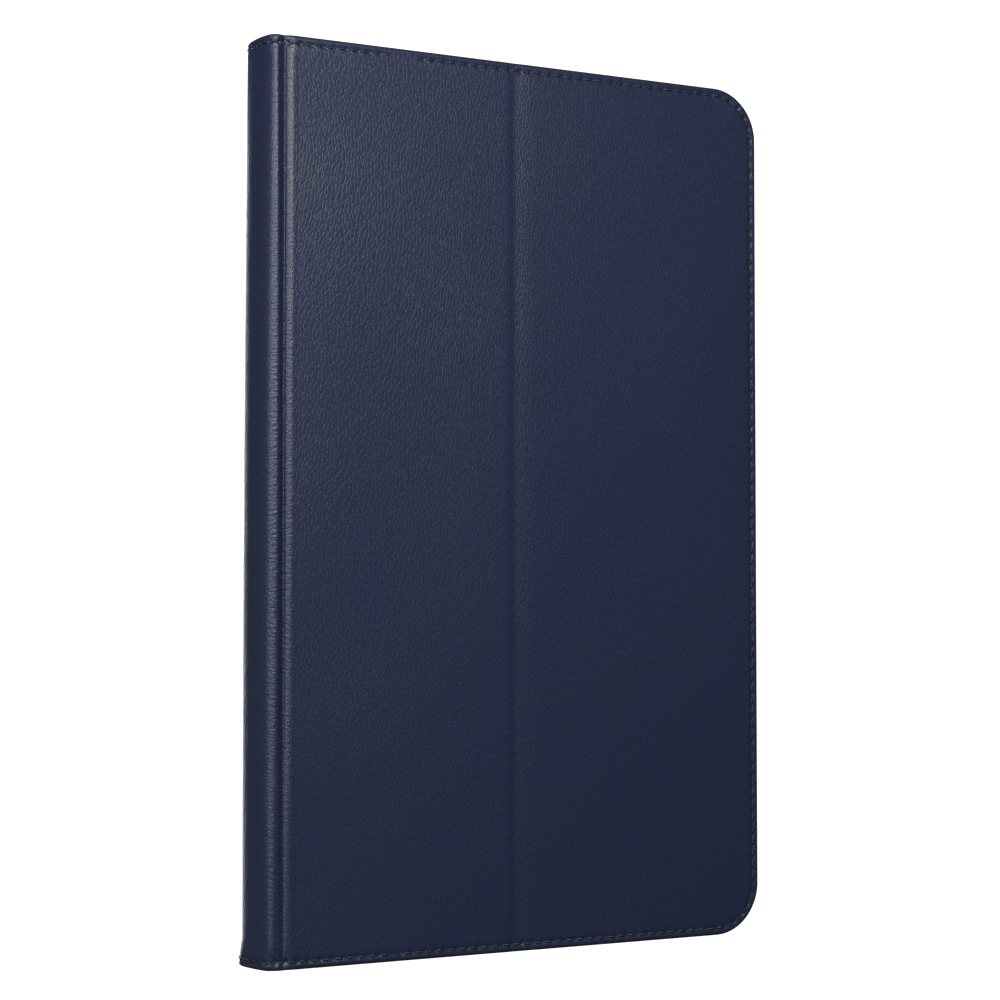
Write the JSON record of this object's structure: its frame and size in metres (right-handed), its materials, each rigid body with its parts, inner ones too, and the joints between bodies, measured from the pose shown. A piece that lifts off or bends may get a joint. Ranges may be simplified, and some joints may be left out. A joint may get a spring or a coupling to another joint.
{
  "type": "tablet keyboard case",
  "caption": "Folio case with a grained leather-look cover that folds at a spine and a crease, a clip-in tablet holder and a thin slide-out keyboard with a touchpad.",
  "frame": {"origin": "middle of the closed case's footprint, on the outer face of the back cover", "axes": "+X along the spine, +Y from the free edge to the spine, +Z out of the front cover"},
  "size_m": [0.254, 0.1622, 0.0174],
  "materials": {
    "leather": "fine litchi grain, satin",
    "board": "matte grey board",
    "lining": "short microfibre nap",
    "holder": "fine matte texture",
    "steel": "plated, satin",
    "magnet": "nickel plated",
    "base": "fine matte texture",
    "deck": "fine matte texture",
    "keycap": "soft matte",
    "touchpad": "smooth satin",
    "switch": "satin",
    "light": "clear satin",
    "rubber": "matte",
    "membrane": "thin film",
    "circuit": "solder mask",
    "battery": "foil pouch"
  },
  "bodies": {
    "root": {"back_leather": "leather", "back_board": "board", "back_lining": "lining", "tablet_holder": "holder", "holder_steel_strip_left": "steel", "holder_steel_strip_right": "steel"},
    "spine": {"spine_leather": "leather", "spine_board": "board", "spine_lining": "lining", "back_gutter_strip": "leather", "front_gutter_strip": "leather"},
    "inner_panel": {"inner_panel_leather": "leather", "inner_panel_board": "board", "inner_panel_lining": "lining", "crease_strip": "leather"},
    "outer_panel": {"outer_panel_leather": "leather", "outer_panel_board": "board", "outer_panel_lining": "lining", "cover_magnet_left": "magnet", "cover_magnet_right": "magnet"},
    "keyboard": {"keyboard_base": "base", "key_frame": "deck", "status_light": "light", "rear_foot_strip": "rubber", "front_foot_strip": "rubber", "charge_socket": "steel", "key_membrane": "membrane", "dome_sheet": "rubber", "battery": "battery", "controller_board": "circuit", "keyboard_steel_plate": "steel", "keyboard_magnet_left": "magnet", "keyboard_magnet_right": "magnet"},
    "escape_key": {"escape_key": "keycap"},
    "function_keys": {"function_keys": "keycap"},
    "delete_key": {"delete_key": "keycap"},
    "number_keys": {"number_keys": "keycap"},
    "backspace_key": {"backspace_key": "keycap"},
    "tab_key": {"tab_key": "keycap"},
    "upper_letter_keys": {"upper_letter_keys": "keycap"},
    "caps_lock_key": {"caps_lock_key": "keycap"},
    "middle_letter_keys": {"middle_letter_keys": "keycap"},
    "enter_key": {"enter_key": "keycap"},
    "left_shift_key": {"left_shift_key": "keycap"},
    "lower_letter_keys": {"lower_letter_keys": "keycap"},
    "right_shift_key": {"right_shift_key": "keycap"},
    "left_modifier_keys": {"left_modifier_keys": "keycap"},
    "space_bar": {"space_bar": "keycap"},
    "right_modifier_key": {"right_modifier_key": "keycap"},
    "left_arrow_key": {"left_arrow_key": "keycap"},
    "up_arrow_key": {"up_arrow_key": "keycap"},
    "down_arrow_key": {"down_arrow_key": "keycap"},
    "right_arrow_key": {"right_arrow_key": "keycap"},
    "touchpad": {"touchpad": "touchpad"},
    "power_switch": {"power_switch": "switch"}
  },
  "joints": [
    {"name": "back_gutter", "type": "hinge", "parent": "root", "child": "spine", "pos_m": [0, 0.0764, 0], "axis": [-1, 0, 0], "range_deg": [0, 150], "deforming": ["back_gutter_strip"]},
    {"name": "front_gutter", "type": "hinge", "parent": "spine", "child": "inner_panel", "pos_m": [0, 0.0764, 0.0174], "axis": [-1, 0, 0], "range_deg": [0, 150], "deforming": ["front_gutter_strip"]},
    {"name": "crease", "type": "hinge", "parent": "inner_panel", "child": "outer_panel", "pos_m": [0, 0.00356, 0.0174], "axis": [-1, 0, 0], "range_deg": [0, 120], "deforming": ["crease_strip"]},
    {"name": "keyboard_slide", "type": "slide", "parent": "root", "child": "keyboard", "axis": [0, -1, 0], "range_m": [0, 0.165]},
    {"name": "escape_key_press", "type": "slide", "parent": "keyboard", "child": "escape_key", "axis": [0, 0, -1], "range_m": [0, 0.0007], "stiffness_N_per_m": 600},
    {"name": "function_keys_press", "type": "slide", "parent": "keyboard", "child": "function_keys", "axis": [0, 0, -1], "range_m": [0, 0.0007], "stiffness_N_per_m": 7200},
    {"name": "delete_key_press", "type": "slide", "parent": "keyboard", "child": "delete_key", "axis": [0, 0, -1], "range_m": [0, 0.0007], "stiffness_N_per_m": 600},
    {"name": "number_keys_press", "type": "slide", "parent": "keyboard", "child": "number_keys", "axis": [0, 0, -1], "range_m": [0, 0.0007], "stiffness_N_per_m": 7200},
    {"name": "backspace_key_press", "type": "slide", "parent": "keyboard", "child": "backspace_key", "axis": [0, 0, -1], "range_m": [0, 0.0007], "stiffness_N_per_m": 600},
    {"name": "tab_key_press", "type": "slide", "parent": "keyboard", "child": "tab_key", "axis": [0, 0, -1], "range_m": [0, 0.0007], "stiffness_N_per_m": 600},
    {"name": "upper_letter_keys_press", "type": "slide", "parent": "keyboard", "child": "upper_letter_keys", "axis": [0, 0, -1], "range_m": [0, 0.0007], "stiffness_N_per_m": 7200},
    {"name": "caps_lock_key_press", "type": "slide", "parent": "keyboard", "child": "caps_lock_key", "axis": [0, 0, -1], "range_m": [0, 0.0007], "stiffness_N_per_m": 600},
    {"name": "middle_letter_keys_press", "type": "slide", "parent": "keyboard", "child": "middle_letter_keys", "axis": [0, 0, -1], "range_m": [0, 0.0007], "stiffness_N_per_m": 6000},
    {"name": "enter_key_press", "type": "slide", "parent": "keyboard", "child": "enter_key", "axis": [0, 0, -1], "range_m": [0, 0.0007], "stiffness_N_per_m": 600},
    {"name": "left_shift_key_press", "type": "slide", "parent": "keyboard", "child": "left_shift_key", "axis": [0, 0, -1], "range_m": [0, 0.0007], "stiffness_N_per_m": 600},
    {"name": "lower_letter_keys_press", "type": "slide", "parent": "keyboard", "child": "lower_letter_keys", "axis": [0, 0, -1], "range_m": [0, 0.0007], "stiffness_N_per_m": 6000},
    {"name": "right_shift_key_press", "type": "slide", "parent": "keyboard", "child": "right_shift_key", "axis": [0, 0, -1], "range_m": [0, 0.0007], "stiffness_N_per_m": 600},
    {"name": "left_modifier_keys_press", "type": "slide", "parent": "keyboard", "child": "left_modifier_keys", "axis": [0, 0, -1], "range_m": [0, 0.0007], "stiffness_N_per_m": 2400},
    {"name": "space_bar_press", "type": "slide", "parent": "keyboard", "child": "space_bar", "axis": [0, 0, -1], "range_m": [0, 0.0007], "stiffness_N_per_m": 600},
    {"name": "right_modifier_key_press", "type": "slide", "parent": "keyboard", "child": "right_modifier_key", "axis": [0, 0, -1], "range_m": [0, 0.0007], "stiffness_N_per_m": 600},
    {"name": "left_arrow_key_press", "type": "slide", "parent": "keyboard", "child": "left_arrow_key", "axis": [0, 0, -1], "range_m": [0, 0.0007], "stiffness_N_per_m": 600},
    {"name": "up_arrow_key_press", "type": "slide", "parent": "keyboard", "child": "up_arrow_key", "axis": [0, 0, -1], "range_m": [0, 0.0007], "stiffness_N_per_m": 600},
    {"name": "down_arrow_key_press", "type": "slide", "parent": "keyboard", "child": "down_arrow_key", "axis": [0, 0, -1], "range_m": [0, 0.0007], "stiffness_N_per_m": 600},
    {"name": "right_arrow_key_press", "type": "slide", "parent": "keyboard", "child": "right_arrow_key", "axis": [0, 0, -1], "range_m": [0, 0.0007], "stiffness_N_per_m": 600},
    {"name": "touchpad_press", "type": "slide", "parent": "keyboard", "child": "touchpad", "axis": [0, 0, -1], "range_m": [0, 0.0003], "stiffness_N_per_m": 4000},
    {"name": "power_switch_slide", "type": "slide", "parent": "keyboard", "child": "power_switch", "axis": [1, 0, 0], "range_m": [0, 0.003]}
  ]
}
